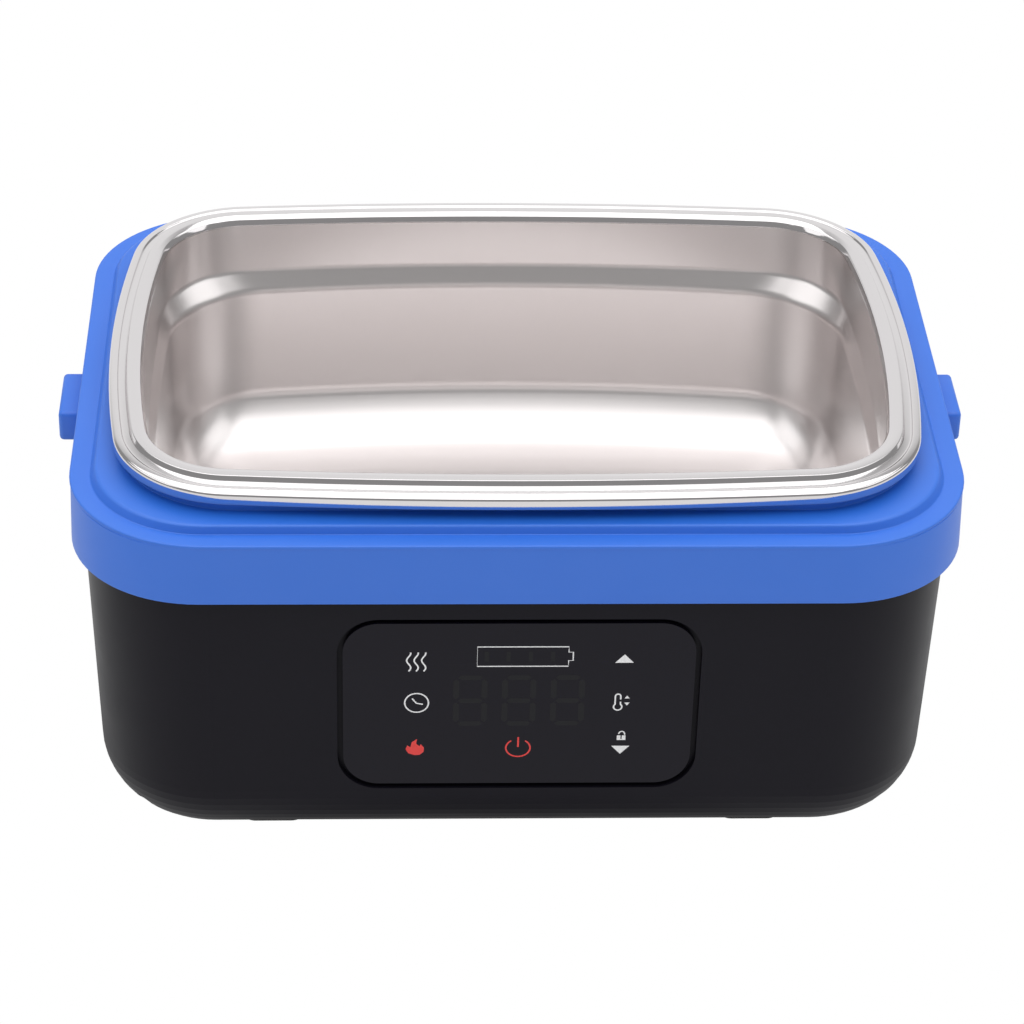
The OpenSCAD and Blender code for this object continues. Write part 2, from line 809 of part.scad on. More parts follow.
// Flat ribbon from the display board's connector to the main board's
module ribbon_cable() {
    t = 0.4;
    top_y = -(body_hd - wall_in(panel_z)) - display_top + board_t + 2;
    y0 = top_y + 1.05 * sin(draft_deg) * display_h / 2;
    y1 = main_y - 16.4;
    z0 = panel_z - display_h / 2 + 3.5;
    z1 = main_top + 3;
    color([0.9, 0.9, 0.88])
        translate([-8, 0, 0]) rotate([90, 0, 90]) linear_extrude(16)
            polygon([[y0, z0], [y0 + 0.8, z0], [y0 + 0.8, z1 + 4], [y0 + 4.4, z1 + t],
                     [y1, z1 + t], [y1, z1], [y0 + 4.2, z1], [y0 + 0.4, z1 + 3.9],
                     [y0, z1 + 5]]);
}

// ---- battery -------------------------------------------------------------

function cell_places() = [for (sx = [-1, 1], i = [0:cell_rows - 1])
    [sx * cell_x, pack_y + (i - (cell_rows - 1) / 2) * cell_pitch]];

module battery_cells() {
    color([0.2, 0.45, 0.6])
        for (p = cell_places())
            translate([p[0] - cell_l / 2, p[1], cell_z]) rotate([0, 90, 0]) {
                cylinder(r = cell_d / 2, h = cell_l);
            }
}

module cell_strips() {
    span = (cell_rows - 1) * cell_pitch + 8;
    color([0.8, 0.8, 0.78])
        for (sx = [-1, 1], x = [cell_gap / 2 - strip_t, cell_gap / 2 + cell_l])
            translate([sx > 0 ? x : -x - strip_t, pack_y - span / 2, cell_z - 1.8])
                cube([strip_t, span, 7]);
}

module battery_tray() {
    w = 2 * cell_l + cell_gap + 8;
    d = pack_d;
    color([0.15, 0.15, 0.16])
        difference() {
            translate([-w / 2, pack_y - d / 2, body_floor]) cube([w, d, tray_t + 7]);
            for (y = [for (i = [0:cell_rows - 1]) pack_y + (i - (cell_rows - 1) / 2) * cell_pitch])
                translate([-cell_l - cell_gap / 2 - 0.8, y, cell_z]) rotate([0, 90, 0])
                    cylinder(r = cell_d / 2 + 0.1, h = 2 * cell_l + cell_gap + 1.6);
            for (sx = [-1, 1]) translate([sx * cell_x - 22, pack_y - d / 2 - 1, body_floor + tray_t + 2])
                cube([44, d + 2, 12]);
        }
}

// ---- charging port -------------------------------------------------------

anchor_r = 1.6;
anchor_y = cover_h / 2 + 3;
hinge_r = cover_t / 2;
hinge_y = cover_h / 2 - hinge_r;
hinge_lift = fit + hinge_r;

module charge_socket() {
    color([0.1, 0.1, 0.11])
        on_rear(port_z) translate([port_x, 0, 0])
            difference() {
                union() {
                    translate([0, 0, -port_depth]) cylinder(r = socket_r, h = port_depth);
                    translate([0, 0, -1]) cylinder(r = socket_r + 1.5, h = 1);
                    for (x = [-2.5, 0, 2.5])
                        translate([x - 0.4, -1, -port_depth - 4]) cube([0.8, 2, 4.1]);
                }
                difference() {
                    translate([0, 0, -9]) cylinder(r = socket_bore_r, h = 12);
                    translate([0, 0, -10]) cylinder(r = 0.9, h = 9);
                }
            }
}

module socket_nut() {
    color([0.75, 0.75, 0.77])
        on_rear(port_z) translate([port_x, 0, -body_wall - 2 - 2.4])
            difference() {
                cylinder(r = 7.6, h = 2.4, $fn = 6);
                translate([0, 0, -1]) cylinder(r = socket_r + 0.05, h = 5);
            }
}

module port_cover() {
    color([0.13, 0.13, 0.14])
        on_rear(port_z) translate([port_x, 0, fit]) {
            linear_extrude(cover_t)
                difference() {
                    rounded(cover_w, cover_h, 3);
                    translate([-cover_w, hinge_y]) square([2 * cover_w, cover_h]);
                }
            translate([-cover_w / 2 + 4, hinge_y, hinge_r]) rotate([0, 90, 0])
                cylinder(r = hinge_r, h = cover_w - 8);
            translate([0, -cover_h / 2 + 1.5, cover_t - 0.4]) linear_extrude(1)
                rounded(8, 2, 0.9);
        }
}

module cover_anchor() {
    color([0.13, 0.13, 0.14])
        on_rear(port_z) translate([port_x, anchor_y, 0]) {
            linear_extrude(fit + cover_t) rounded(cover_w - 8, 5.4, 2);
            translate([0, 0, -body_wall - 1.5]) cylinder(r = anchor_r, h = body_wall + 2);
        }
}

// ---- leads ---------------------------------------------------------------

lead_r = 0.8;

// Two leads from the thermostat and the heater to the main board's output
module heater_leads() {
    z = main_top + 8;
    color([0.7, 0.1, 0.1])
        for (s = [-1, 1])
            lead([[s * 4, 4.6, well_low - 10], [s * 4 + 3, 3, well_low - 14.5],
                  [s * 3 + 20, -8, z + 4], [s * 2 + 40, -18, z + 2],
                  [s * 2 + 46, main_y + 14, z + 1.2], [s * 2 + 46, main_y + 14, main_top + 7]],
                 lead_r);
}

// Two leads from the battery strips to the main board's input
module battery_leads() {
    x = -cell_l - cell_gap / 2 - strip_t - lead_r;
    color([0.1, 0.1, 0.1])
        for (s = [0, 1])
            lead([[x, pack_y - 14 + 9 * s, cell_z + 1 + 3 * s],
                  [x - 1.5, pack_y - 24 + 8 * s, cell_z + 3 + 3 * s],
                  [x - 1, pack_y - 34 + 4 * s, cell_z + 5 + 3 * s],
                  [-58 + 4 * s, main_y + 8, main_top + 11],
                  [-48 + 4 * s, main_y - 12, main_top + 9], [-48 + 4 * s, main_y - 12, main_top + 6]],
                 lead_r);
}

food_container();
top_frame();
outer_shell();
frame_seal();
heating_well();
well_gasket();
well_screws();
foil_heater();
felt_pad();
clamp_plate();
clamp_nuts();
thermostat();
temp_sensor();
panel_window();
panel_tape();
display_board();
digit_display();
battery_bar_light();
touch_springs();
display_screws();
ribbon_cable();
main_board();
board_parts();
buzzer();
board_screws();
battery_cells();
cell_strips();
battery_tray();
charge_socket();
socket_nut();
port_cover();
cover_anchor();
heater_leads();
battery_leads();
case_screws();
rubber_feet();
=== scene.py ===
"""Electric lunch box: looks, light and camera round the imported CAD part."""

import json
import math

import bpy
from mathutils import Euler, Matrix, Vector


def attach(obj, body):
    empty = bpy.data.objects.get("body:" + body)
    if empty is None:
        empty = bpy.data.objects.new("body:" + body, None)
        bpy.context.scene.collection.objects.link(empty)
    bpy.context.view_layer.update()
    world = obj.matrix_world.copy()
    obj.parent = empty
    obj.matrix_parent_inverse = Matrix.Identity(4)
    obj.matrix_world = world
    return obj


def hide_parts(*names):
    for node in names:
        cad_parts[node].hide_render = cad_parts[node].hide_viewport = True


MM = 0.001
BODY, CONTAINER = "base", "container"  # what the scene's own pieces ride on
BAND_Z = 107.2  # top of the frame's outer band over the ground, in mm

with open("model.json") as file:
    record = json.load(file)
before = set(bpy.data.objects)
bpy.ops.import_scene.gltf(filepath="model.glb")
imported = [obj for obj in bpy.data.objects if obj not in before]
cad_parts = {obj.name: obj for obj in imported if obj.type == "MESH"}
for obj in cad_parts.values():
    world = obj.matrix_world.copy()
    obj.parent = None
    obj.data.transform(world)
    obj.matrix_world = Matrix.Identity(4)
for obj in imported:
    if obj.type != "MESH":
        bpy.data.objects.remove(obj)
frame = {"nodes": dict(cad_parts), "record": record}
cad = frame["nodes"]
scene = bpy.context.scene


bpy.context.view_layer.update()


# ---- pieces ------------------------------------------------------------------

def mesh_object(name, points, faces):
    mesh = bpy.data.meshes.new(name)
    mesh.from_pydata(points, [], faces)
    made = bpy.data.objects.new(name, mesh)
    scene.collection.objects.link(made)
    return made


def dress(obj, material):
    """Gives all faces one material."""
    obj.data.materials.clear()
    obj.data.materials.append(material)
    for face in obj.data.polygons:
        face.material_index = 0


def place(obj, material, body, slot, *nodes):
    """A finished piece: its material, its body, and the CAD nodes that it stands for."""
    dress(obj, material)
    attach(obj, body)
    if nodes:
        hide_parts(*nodes)


# ---- node trees --------------------------------------------------------------

WHITE = (1, 1, 1, 1)


def node(tree, kind, inputs, **settings):
    """A new node. Each of its inputs is a value, or another node's output to link from."""
    made = tree.nodes.new(kind)
    for key, value in settings.items():
        setattr(made, key, value)
    for key, value in inputs.items():
        if isinstance(value, bpy.types.NodeSocket):
            tree.links.new(value, made.inputs[key])
        else:
            made.inputs[key].default_value = value
    return made


def first(tree, kind):
    return next(n for n in tree.nodes if n.type == kind)


def calculate(tree, operation, *values):
    return node(tree, "ShaderNodeMath", dict(enumerate(values)), operation=operation).outputs["Value"]


def spread_to(tree, value, low, high, start, end, **settings):
    """Maps start..end to low..high, and stays at these beyond."""
    limits = {"From Min": start, "From Max": end, "To Min": low, "To Max": high}
    return node(tree, "ShaderNodeMapRange", {"Value": value, **limits}, **settings).outputs["Result"]


def noise(tree, scale, detail):
    """Noise in object space. The scale is in cycles per metre."""
    spot = node(tree, "ShaderNodeTexCoord", {}).outputs["Object"]
    return node(tree, "ShaderNodeTexNoise", {"Vector": spot, "Scale": scale, "Detail": detail}).outputs["Fac"]


def seen_rays(tree):
    """(rays from the camera, these and the rays that metal and glass send on)."""
    rays = node(tree, "ShaderNodeLightPath", {}).outputs
    mirrored = calculate(tree, "MAXIMUM", rays["Is Camera Ray"], rays["Is Glossy Ray"])
    return rays["Is Camera Ray"], calculate(tree, "MAXIMUM", mirrored, rays["Is Transmission Ray"])


# ---- materials ---------------------------------------------------------------

def coloured(name, colour, metallic=0.0, specular=0.5):
    """A material of one colour, with its tree and its shader."""
    material = bpy.data.materials.new(name)
    material.use_nodes = True
    tree = material.node_tree
    shader = first(tree, "BSDF_PRINCIPLED")
    shader.inputs["Base Color"].default_value = (*colour, 1)
    shader.inputs["Metallic"].default_value = metallic
    shader.inputs["Specular IOR Level"].default_value = specular
    return material, tree, shader


def vary_roughness(tree, shader, pattern, roughness, share, start, end):
    """Roughness that the pattern moves up and down by a share of itself."""
    varied = spread_to(tree, pattern, roughness * (1 - share), roughness * (1 + share), start, end)
    tree.links.new(varied, shader.inputs["Roughness"])


def plastic(name, colour, roughness, specular=0.5, grain=0.0, metallic=0.0):
    """Moulded plastic, and small fittings. The grain is the strength of a fine bump."""
    material, tree, shader = coloured(name, colour, metallic, specular)
    patches = noise(tree, scale=60, detail=4)
    vary_roughness(tree, shader, patches, roughness, share=0.07, start=0.3, end=0.7)
    if grain:
        pits = noise(tree, scale=2600, detail=2)
        relief = node(tree, "ShaderNodeBump", {"Height": pits, "Strength": grain, "Distance": 0.1 * MM})
        tree.links.new(relief.outputs["Normal"], shader.inputs["Normal"])
    return material


def steel(name, colour, roughness):
    """Bare pressed metal."""
    material, tree, shader = coloured(name, colour, metallic=1.0)
    vary_roughness(tree, shader, noise(tree, scale=14, detail=0), roughness, share=0.03, start=0, end=1)
    return material


STEEL = steel("steel_inside", (0.765, 0.732, 0.727), 0.28)
RIM = steel("steel_rim", (0.69, 0.67, 0.675), 0.08)
BLUE = plastic("blue_case", (0.0155, 0.136, 0.62), 0.48, specular=0.66, grain=0.03)
BLACK = plastic("black_case", (0.0065, 0.0058, 0.0098), 0.40, specular=0.12, grain=0.03)
PANEL = plastic("panel_black", (0.0045, 0.0036, 0.0082), 0.12, specular=0.17)
RUBBER = plastic("black_rubber", (0.02, 0.02, 0.021), 0.7)
SEAL = plastic("seal_rubber", (0.6, 0.6, 0.58), 0.6)
ALUMINIUM = steel("aluminium", (0.75, 0.75, 0.76), 0.35)
FIXING = plastic("fixing_steel", (0.62, 0.62, 0.63), 0.3, metallic=1.0)
FILM = plastic("heater_film", (0.32, 0.09, 0.01), 0.35)
FELT = plastic("felt", (0.62, 0.59, 0.50), 0.95, grain=0.5)
BRASS = plastic("brass", (0.60, 0.38, 0.11), 0.3, metallic=1.0)
BOARD = plastic("board_green", (0.01, 0.09, 0.035), 0.4)
CELL = plastic("cell_sleeve", (0.02, 0.12, 0.28), 0.35)
PRINT = plastic("print_white", (0.78, 0.78, 0.79), 0.3)
RED = plastic("print_red", (0.72, 0.035, 0.03), 0.3)
GHOST = plastic("print_ghost", (0.009, 0.009, 0.011), 0.25, specular=0.17)

SLOT_LOOKS = {
    "steel": STEEL, "blue_plastic": BLUE, "black_plastic": BLACK, "seal_rubber": SEAL,
    "aluminium": ALUMINIUM, "fixing_steel": FIXING, "heater_film": FILM, "felt": FELT,
    "brass": BRASS, "panel_black": PANEL, "tape": RUBBER, "board_green": BOARD,
    "display_black": PANEL, "lead_rubber": RUBBER, "cell_can": CELL, "black_rubber": RUBBER,
}

for part in frame["record"]["subparts"]:
    dress(cad[part["node"]], SLOT_LOOKS[part["material_slot"]])


# ---- lofts through bowed outlines --------------------------------------------

LONG_LEAN = 4.0  # degrees that a long side turns between its middle and its end
SHORT_LEAN = 7.8  # the same for a short side
LEAST_LEAN = 0.01  # what a straight side gets instead of none
SIDE_STEPS = 8
CORNER_STEPS = 20
ROUND_STEPS = 5  # steps round a softened corner of a profile


def arc(cx, cy, rx, start=0, end=360, steps=32, ry=None):
    """Points along an arc with both its ends, or along an ellipse's where ry is given. Angles in degrees."""
    angles = [math.radians(start + (end - start) * i / steps) for i in range(steps + 1)]
    return [(cx + rx * math.cos(a), cy + (ry or rx) * math.sin(a)) for a in angles]


def outline(hx, hy, r, long_lean, short_lean):
    """One ring anticlockwise from +X: hx and hy are the half sizes at mid side."""
    long_slope = math.tan(math.radians(long_lean / 2))
    short_slope = math.tan(math.radians(short_lean / 2))
    cx = ((hx - r) - short_slope * (hy - r)) / (1 - short_slope * long_slope)
    cy = (hy - r) - long_slope * cx

    # A side is part of a large circle, which the corner's circle touches inside where the two meet
    long_turn, short_turn = max(long_lean, LEAST_LEAN), max(short_lean, LEAST_LEAN)
    long_angle, short_angle = math.radians(long_turn), math.radians(short_turn)
    short_x, short_r = cx - cy / math.tan(short_angle), cy / math.sin(short_angle) + r
    long_y, long_r = cy - cx / math.tan(long_angle), cx / math.sin(long_angle) + r

    quarter = arc(short_x, 0, short_r, 0, short_turn, SIDE_STEPS)[:-1]
    quarter += arc(cx, cy, r, short_turn, 90 - long_turn, CORNER_STEPS)[:-1]
    quarter += arc(0, long_y, long_r, 90 - long_turn, 90, SIDE_STEPS)
    half = quarter + [(-x, y) for x, y in reversed(quarter[:-1])]
    return half + [(-x, -y) for x, y in half[1:-1]]


def ring_of(hx, hy, r, z, cut, long_lean=LONG_LEAN, short_lean=SHORT_LEAN):
    """A profile's row as (ring, how far its corner is cut back to be rounded)."""
    return Vector((hx, hy, r, z, long_lean, short_lean)), cut


def softened(rows):
    """The rings of a profile, with its corners rounded."""
    rows = [ring_of(*row) for row in rows]
    made = []
    for i, (here, cut) in enumerate(rows):
        if cut == 0 or i in (0, len(rows) - 1):
            made.append(here)
            continue
        ends = []
        for there, _ in (rows[i - 1], rows[i + 1]):
            way = there - here
            reach = math.hypot(max(abs(way[0]), abs(way[1])), way[3])
            ends.append(here + way * min(cut / reach, 0.5))
        for k in range(ROUND_STEPS + 1):
            t = k / ROUND_STEPS
            made.append(ends[0] * (1 - t) ** 2 + here * 2 * t * (1 - t) + ends[1] * t * t)
    return made


def loft(name, rows, closed=False):
    """A smooth skin through a profile's rings, closed by a flat face at both ends if asked."""
    points = []
    for hx, hy, r, z, *leans in softened(rows):
        ring = outline(hx, hy, r, *leans)
        points += [(x * MM, y * MM, (BAND_Z + z) * MM) for x, y in ring]
    count = len(ring)
    faces = []
    for here in range(0, len(points) - count, count):
        there = here + count
        for i in range(count):
            k = (i + 1) % count
            faces.append((here + i, here + k, there + k, there + i))
    if closed:
        faces.append(tuple(reversed(range(count))))
        faces.append(tuple(range(len(points) - count, len(points))))
    made = mesh_object(name, points, faces)
    made.data.shade_smooth()
    return made


# ---- food container ----------------------------------------------------------

# Each row of a profile has its half length, half depth, corner radius, height over the band and
# how far the corner is cut back, in mm, then both leans in degrees where they aren't the usual ones.
SHEET = 0.7  # thickness
RIM_FROM = 4.8  # the polished edge lies above this height over the band
LEDGE_LEANS = (6.4, 3.5)  # the inside bows otherwise than the rim
EDGE_ROWS = [  # rolled edge and the groove beside it
    (109.6, 79.5, 31.0, 7.4, 0),
    (109.6, 79.5, 31.0, 5.4, 0.9),
    (111.8, 81.8, 33.3, 5.4, 0.9),
    (112.0, 81.95, 33.5, 9.15, 1.15),
    (109.6, 79.1, 30.8, 9.55, 0.25),
    (109.3, 78.7, 30.5, 9.2, 0.2),
    (109.0, 78.3, 30.2, 9.1, 0.25),
]
SHEET_ROWS = [
    (107.5, 75.9, 28.3, 9.4, 0.05),  # outer riser and top of the ridge
    (106.8, 75.2, 27.6, 10.7, 0.15),
    (105.0, 73.3, 25.8, 10.8, 0.4),
    (103.3, 71.3, 24.3, 10.3, 0.3),
    (102.6, 70.4, 23.7, 8.9, 0.4),  # upper wall
    (101.3, 70.0, 26.5, -5.6, 0.9, *LEDGE_LEANS),  # ledge
    (99.2, 67.3, 30.6, -11.1, 1.5, *LEDGE_LEANS),  # lower wall
    (98.2, 65.6, 28.0, -45.4, 2.2, *LEDGE_LEANS),  # bottom curve
    (95.8, 60.8, 23.7, -51.6, 3.9, *LEDGE_LEANS),
    (90.0, 54.6, 18.5, -57.5, 4.5, *LEDGE_LEANS),
    (80.0, 46.0, 14.0, -59.0, 4.0),  # floor
    (60.0, 30.0, 10.0, -59.0, 0),
]
FLOOR_ROW = (30.0, 8.0, 4.0, -59.0, 0)
GROOVE_UNDER_ROW = (109.6, 79.5, 31.0, 8.3, 0)
RIDGE_MIDDLE = 105.5  # half length at which the sheet's other face changes sides
LEVEL_OVER, LEVEL_UNDER = 8.0, -50.0  # the sheet is nearly level over the one and under the other


def under(hx, hy, r, z, cut, *leans):
    """The same row on the sheet's other face."""
    out = SHEET if hx < RIDGE_MIDDLE else -SHEET
    drop = SHEET if z > LEVEL_OVER or z < LEVEL_UNDER else 0
    return (hx + out, hy + out, r + out, z - drop, cut, *leans)


def food_container():
    other_face = [under(*row) for row in reversed(SHEET_ROWS)]
    rows = other_face + [GROOVE_UNDER_ROW] + EDGE_ROWS + SHEET_ROWS + [FLOOR_ROW]
    container = loft("container_steel", rows, closed=True)
    place(container, STEEL, CONTAINER, "steel", "food_container")
    container.data.materials.append(RIM)
    for face in container.data.polygons:
        face.material_index = int(face.center.z > (BAND_Z + RIM_FROM) * MM)


food_container()


# ---- blue frame --------------------------------------------------------------

STRAIGHT = (0.0, 0.0)  # leans of the frame's sides
FRAME_ROWS = [
    (117.65, 87.7, 33.6, -3.4, 0),  # skirt
    (118.15, 88.1, 33.3, -18.0, 0.2),
    (118.3, 88.3, 33.4, -18.2, 0.1),
    (120.2, 90.25, 35.5, -18.2, 0.25),
    (119.8, 90.0, 36.1, -1.1, 0.1),
    (120.1, 90.15, 37.3, -1.1, 0.1),  # outer band
    (120.2, 90.2, 37.3, 0.0, 0.75),
    (114.6, 84.5, 31.1, 0.0, 0.35),
    (113.1, 84.0, 30.8, 2.5, 0.8),  # step
    (106.8, 76.7, 32.2, 2.5, 0.2),
    (106.8, 76.7, 32.2, 7.9, 0.2),  # inner collar, under the container's edge
    (104.6, 74.5, 30.0, 7.9, 0.2),
    (104.6, 74.5, 30.0, 0.1, 0),
    (112.0, 83.0, 32.0, 0.1, 0),
]
LUG_IN, LUG_OUT = 119.4, 126.7
LUG_LOW, LUG_TOP = -17.4, -8.2
LUG_Y = 0.4
LUG_HALF = 11.15
LUG_ROUND = 1.3


def lug(name, side):
    """Rounded block on one side of the frame: a bevelled box."""
    corners = [(x * MM, (LUG_Y + y) * MM, (BAND_Z + z) * MM)
               for x in sorted((side * LUG_IN, side * LUG_OUT)) for y in (-LUG_HALF, LUG_HALF)
               for z in (LUG_LOW, LUG_TOP)]
    faces = [(0, 1, 3, 2), (4, 6, 7, 5), (0, 4, 5, 1), (2, 3, 7, 6), (0, 2, 6, 4), (1, 5, 7, 3)]
    made = mesh_object(name, corners, faces)
    edge = made.modifiers.new("edge", "BEVEL")
    edge.width = LUG_ROUND * MM
    edge.segments = 4
    made.data.shade_smooth()
    return made


def blue_frame():
    rim = loft("frame_blue", [row + STRAIGHT for row in FRAME_ROWS])
    place(rim, BLUE, BODY, "blue_plastic", "top_frame")
    for name, side in (("lug_left", -1), ("lug_right", 1)):
        place(lug(name, side), BLUE, BODY, "blue_plastic")


blue_frame()


# ---- panel symbols -----------------------------------------------------------

# All in mm from the panel's middle: x to the right, y upwards along the window.
PANEL_Y = 85.75  # from the frame's middle to the wall's face, at the panel's middle
PANEL_Z = -54.3  # the panel's middle over the band
PANEL_DRAFT = math.radians(1.794)  # how far the front wall leans
WINDOW_IN = 0.25  # the window's face behind the wall's
PRINT_LIFT = 0.02  # the print over the window's face


def on_panel(name, material, polygons):
    """Flat print on the window."""
    points, faces = [], []
    for polygon in polygons:
        faces.append(tuple(range(len(points), len(points) + len(polygon))))
        points += [(x * MM, y * MM, 0) for x, y in polygon]
    made = mesh_object(name, points, faces)
    made.matrix_world = Matrix((
        (1, 0, 0, 0),
        (0, -math.sin(PANEL_DRAFT), -math.cos(PANEL_DRAFT), -(PANEL_Y - WINDOW_IN + PRINT_LIFT) * MM),
        (0, math.cos(PANEL_DRAFT), -math.sin(PANEL_DRAFT), (BAND_Z + PANEL_Z) * MM),
        (0, 0, 0, 1)))
    place(made, material, BODY, "panel_black")


def stroke(points, width, closed=False):
    """Quads along a line, mitred by averaging the directions at each point."""
    n = len(points)
    sides = []
    for i, (x, y) in enumerate(points):
        before = points[i - 1] if closed or i else points[i]
        after = points[(i + 1) % n] if closed or i < n - 1 else points[i]
        dx, dy = after[0] - before[0], after[1] - before[1]
        k = width / 2 / math.hypot(dx, dy)
        sides.append(((x - dy * k, y + dx * k), (x + dy * k, y - dx * k)))
    quads = []
    for i in range(n if closed else n - 1):
        (left, right), (next_left, next_right) = sides[i], sides[(i + 1) % n]
        quads.append([left, right, next_right, next_left])
    return quads


def rectangle(left, low, right, top):
    return [(left, low), (right, low), (right, top), (left, top)]


def triangle(x, y, half, rise):
    """Its tip points up, or down where the rise is negative."""
    base = [(x - half, y), (x + half, y)]
    return base + [(x, y + rise)] if rise > 0 else [base[0], (x, y + rise), base[1]]


def waves():
    """Three upright wavy lines."""
    low, high, steps = 11.4, 17.7, 16
    swing, turns = 0.55, 1.3
    made = []
    for x in (-29.6, -27.6, -25.6):
        line = [(x + swing * math.sin(math.tau * turns * t / steps), low + (high - low) * t / steps)
                for t in range(steps + 1)]
        made += stroke(line, width=0.42)
    return made


def clock():
    """A round face with two hands."""
    x, y, radius, width = -27.4, 0.7, 3.2, 0.4
    hands = [(x - 1.2, y + 1.5), (x - 0.1, y - 0.1), (x + 1.7, y - 0.5)]
    return stroke(arc(x, y, radius)[:-1], width, closed=True) + stroke(hands, width)


def thermometer():
    """A tube on a bulb, open where its scale is, and two small triangles."""
    x, tube, bulb = 26.84, 0.73, 1.12
    line = [(x + tube, 1.65)] + arc(x, 2.75, tube, 0, 180, steps=10) + [(x - tube, 0.2)]
    line += arc(x, -0.85, bulb, 130, 410, steps=20) + [(x + tube, 0.9)]
    beside, half = 29.3, 0.73
    return stroke(line, width=0.42) + [triangle(beside, 2.0, half, 0.95), triangle(beside, 0.6, half, -1.0)]


def padlock():
    """A block with a slot from above, under an open shackle."""
    low, top, slot_low = -12.3, -10.7, -11.9
    left, slot_left, slot_right, right = 27.02, 28.02, 28.38, 29.38
    block = [rectangle(left, low, slot_left, top), rectangle(slot_right, low, right, top)]
    block.append(rectangle(slot_left, low, slot_right, slot_low))
    return block + stroke(arc(28.3, -10.5, 0.85, 0, 165, steps=12, ry=1.2), width=0.36)


def power():
    """A ring open at the top, with a bar in its gap."""
    x, y = 0.24, -14.9
    ring = arc(x, y, 3.3, 125, 415, ry=3.0)
    return stroke(ring, width=0.45) + stroke([(x, y + 0.3), (x, y + 3.7)], width=0.5)


def segment(x, y, half, upright):
    """A bar of a digit, round (x, y), with pointed ends."""
    thick = 0.8  # half its width
    tip = half - thick
    bar = [(-half, 0), (-tip, thick), (tip, thick), (half, 0), (tip, -thick), (-tip, -thick)]
    return [(x + v, y + u) if upright else (x + u, y + v) for u, v in bar]


def digit(x, y, width, height):
    """The seven segments of an unlit digit."""
    gap = 0.5
    made = [segment(x, y + row * height / 2, width / 2 - gap, upright=False) for row in (-1, 0, 1)]
    for side in (-1, 1):
        for row in (-1, 1):
            made.append(segment(x + side * width / 2, y + row * height / 4, height / 4 - gap, upright=True))
    return made


FLAME = [
    (-27.9, -17.3), (-29.6, -16.6), (-30.3, -15.2), (-29.8, -13.9), (-29.0, -14.6),
    (-28.6, -12.8), (-27.2, -11.7), (-27.4, -13.4), (-26.5, -14.2), (-26.2, -13.5),
    (-25.3, -14.7), (-25.4, -16.2), (-26.5, -17.2),
]
BATTERY = [
    (-11.3, 13.0), (13.1, 13.0), (13.1, 14.9), (14.3, 14.9),
    (14.3, 17.7), (13.1, 17.7), (13.1, 19.5), (-11.3, 19.5),
]
ARROW_X = 28.1
DIGITS_X = (-13.0, 0.1, 13.2)
BARS_X = (-8.8, -2.95, 3.0, 8.9)
BAR_HALF = 0.55
BAR_LOW, BAR_TOP = 14.6, 17.9

on_panel("symbol_waves", PRINT, waves())
on_panel("symbol_clock", PRINT, clock())
on_panel("symbol_flame", RED, [FLAME])
on_panel("symbol_battery", PRINT, stroke(BATTERY, width=0.34, closed=True))
on_panel("symbol_up", PRINT, [triangle(ARROW_X, 14.1, half=2.5, rise=2.8)])
on_panel("symbol_down", PRINT, [triangle(ARROW_X, -14.3, half=2.5, rise=-2.8)])
on_panel("symbol_thermometer", PRINT, thermometer())
on_panel("symbol_padlock", PRINT, padlock())
on_panel("symbol_power", RED, power())
on_panel("unlit_digits", GHOST, [bar for x in DIGITS_X for bar in digit(x, 1.4, width=7.6, height=15.6)])
on_panel("unlit_bars", GHOST, [rectangle(x - BAR_HALF, BAR_LOW, x + BAR_HALF, BAR_TOP) for x in BARS_X])


# ---- camera ------------------------------------------------------------------

CAMERA_AT = (-39.780, -842.722, 609.850)  # mm
CAMERA_TURN = (56.8508, -1.2282, -1.9765)  # degrees about X, Y and Z from looking straight down
CAMERA_LENS = 122.607  # mm, on a frame 36 mm wide


def studio_camera():
    data = bpy.data.cameras.new("camera")
    data.sensor_width = 36
    data.lens = CAMERA_LENS
    data.clip_start = 0.01
    made = bpy.data.objects.new("camera", data)
    scene.collection.objects.link(made)
    turn = Euler([math.radians(angle) for angle in CAMERA_TURN])
    made.matrix_world = Matrix.Translation(Vector(CAMERA_AT) * MM) @ turn.to_matrix().to_4x4()
    scene.camera = made


studio_camera()


# ---- floor, background and light, in metres ----------------------------------

FLOOR_HALF = 3.0
FLOOR_Z = -0.0002
PART_HALF = (0.127, 0.09)  # the part's half sizes
FLOOR_PAINTED_SHADOW = 0.35  # painted shadow: the floor close to the part is darker, as shiny pieces show it
PAINTED_SHADOW_TO, WHITE_FROM = 1.0, 1.25  # how far out the painted shadow reaches and the white begins, in half sizes

SKY_LIGHT = 0.6
ROOM_GREY = 0.33  # the unlit room behind the camera, as shiny pieces show it
ROOM_RISE, ROOM_SIDES = 0.9, 1.2  # how far the room reaches upwards and sideways
ROOM_TO, WHITE_AHEAD = -0.45, 0.15  # between these the room passes into the white

LAMPS_AIM = (0, 0, 0.1)


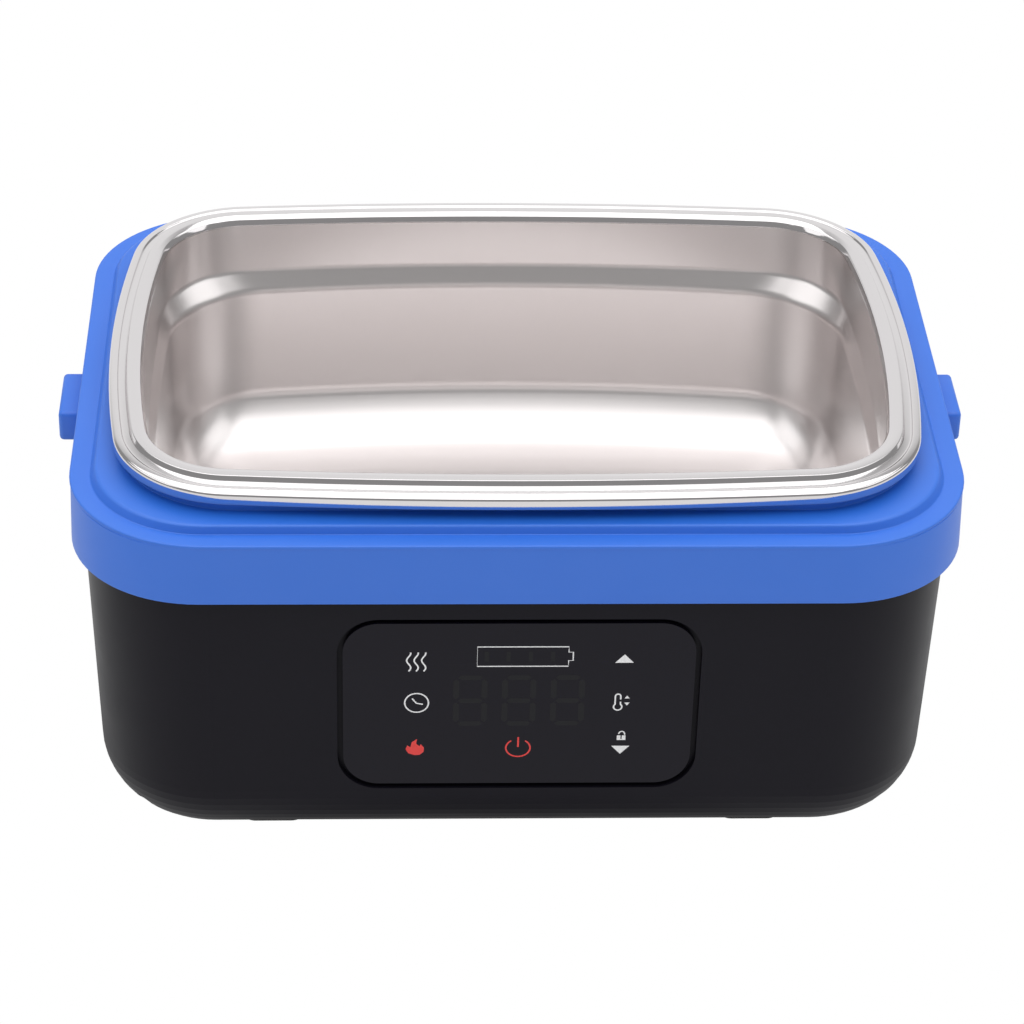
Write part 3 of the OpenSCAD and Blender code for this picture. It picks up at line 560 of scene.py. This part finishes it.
def studio_floor():
    """A pale floor that the camera sees as plain white, with a painted shadow round the part that shiny
    pieces show in their reflections.
    """
    corners = [(x * FLOOR_HALF, y * FLOOR_HALF, FLOOR_Z) for x, y in rectangle(-1, -1, 1, 1)]
    floor = mesh_object("floor", corners, [(0, 1, 2, 3)])
    look, tree, shader = coloured("floor", (0.8, 0.8, 0.8))
    shader.inputs["Roughness"].default_value = 0.9
    camera_ray, seen_ray = seen_rays(tree)
    spot = node(tree, "ShaderNodeTexCoord", {}).outputs["Object"]
    shares = {0: spot, 1: (1 / PART_HALF[0], 1 / PART_HALF[1], 0)}
    scaled = node(tree, "ShaderNodeVectorMath", shares, operation="MULTIPLY").outputs["Vector"]
    reach = node(tree, "ShaderNodeVectorMath", {0: scaled}, operation="LENGTH").outputs["Value"]
    # painted shadow: the floor's glow is lower close to the part, for the rays that shiny pieces send on
    shade = spread_to(tree, reach, FLOOR_PAINTED_SHADOW, 1.0, PAINTED_SHADOW_TO, WHITE_FROM)
    strength = calculate(tree, "MAXIMUM", camera_ray, shade)
    glow = node(tree, "ShaderNodeEmission", {"Color": WHITE, "Strength": strength}).outputs["Emission"]
    mix = node(tree, "ShaderNodeMixShader", {"Fac": seen_ray, 1: shader.outputs["BSDF"], 2: glow})
    tree.links.new(mix.outputs["Shader"], first(tree, "OUTPUT_MATERIAL").inputs["Surface"])
    floor.data.materials.append(look)


def studio_world():
    """White all round to the camera, with a darker room behind it for shiny pieces."""
    world = bpy.data.worlds.new("studio")
    scene.world = world
    world.use_nodes = True
    tree = world.node_tree
    camera_ray, seen_ray = seen_rays(tree)
    heading = node(tree, "ShaderNodeTexCoord", {}).outputs["Generated"]
    along = node(tree, "ShaderNodeSeparateXYZ", {"Vector": heading}).outputs
    ahead = calculate(tree, "MULTIPLY_ADD", along["Z"], -ROOM_RISE, along["Y"])
    aside = calculate(tree, "ABSOLUTE", along["X"])
    ahead = calculate(tree, "MULTIPLY_ADD", aside, -ROOM_SIDES, ahead)
    room = spread_to(tree, ahead, ROOM_GREY, 1.0, ROOM_TO, WHITE_AHEAD, interpolation_type="SMOOTHSTEP")
    shown = calculate(tree, "MAXIMUM", room, camera_ray)
    background = first(tree, "BACKGROUND")
    background.inputs["Color"].default_value = WHITE
    tree.links.new(spread_to(tree, seen_ray, SKY_LIGHT, shown, 0, 1), background.inputs["Strength"])


def area_lamp(name, at, width, height, power):
    data = bpy.data.lights.new(name, "AREA")
    data.shape = "RECTANGLE"
    data.size = width
    data.size_y = height
    data.energy = power
    made = bpy.data.objects.new(name, data)
    scene.collection.objects.link(made)
    made.location = at
    made.rotation_euler = (Vector(LAMPS_AIM) - Vector(at)).to_track_quat("-Z", "Y").to_euler()


scene.view_settings.view_transform = "Standard"
studio_floor()
studio_world()
area_lamp("top_box", (0, 0, 1.25), width=1.7, height=2.0, power=16.3)
for name, side in (("left_box", -1), ("right_box", 1)):
    area_lamp(name, (side * 0.95, -0.05, 0.85), width=1.0, height=0.5, power=1.7)
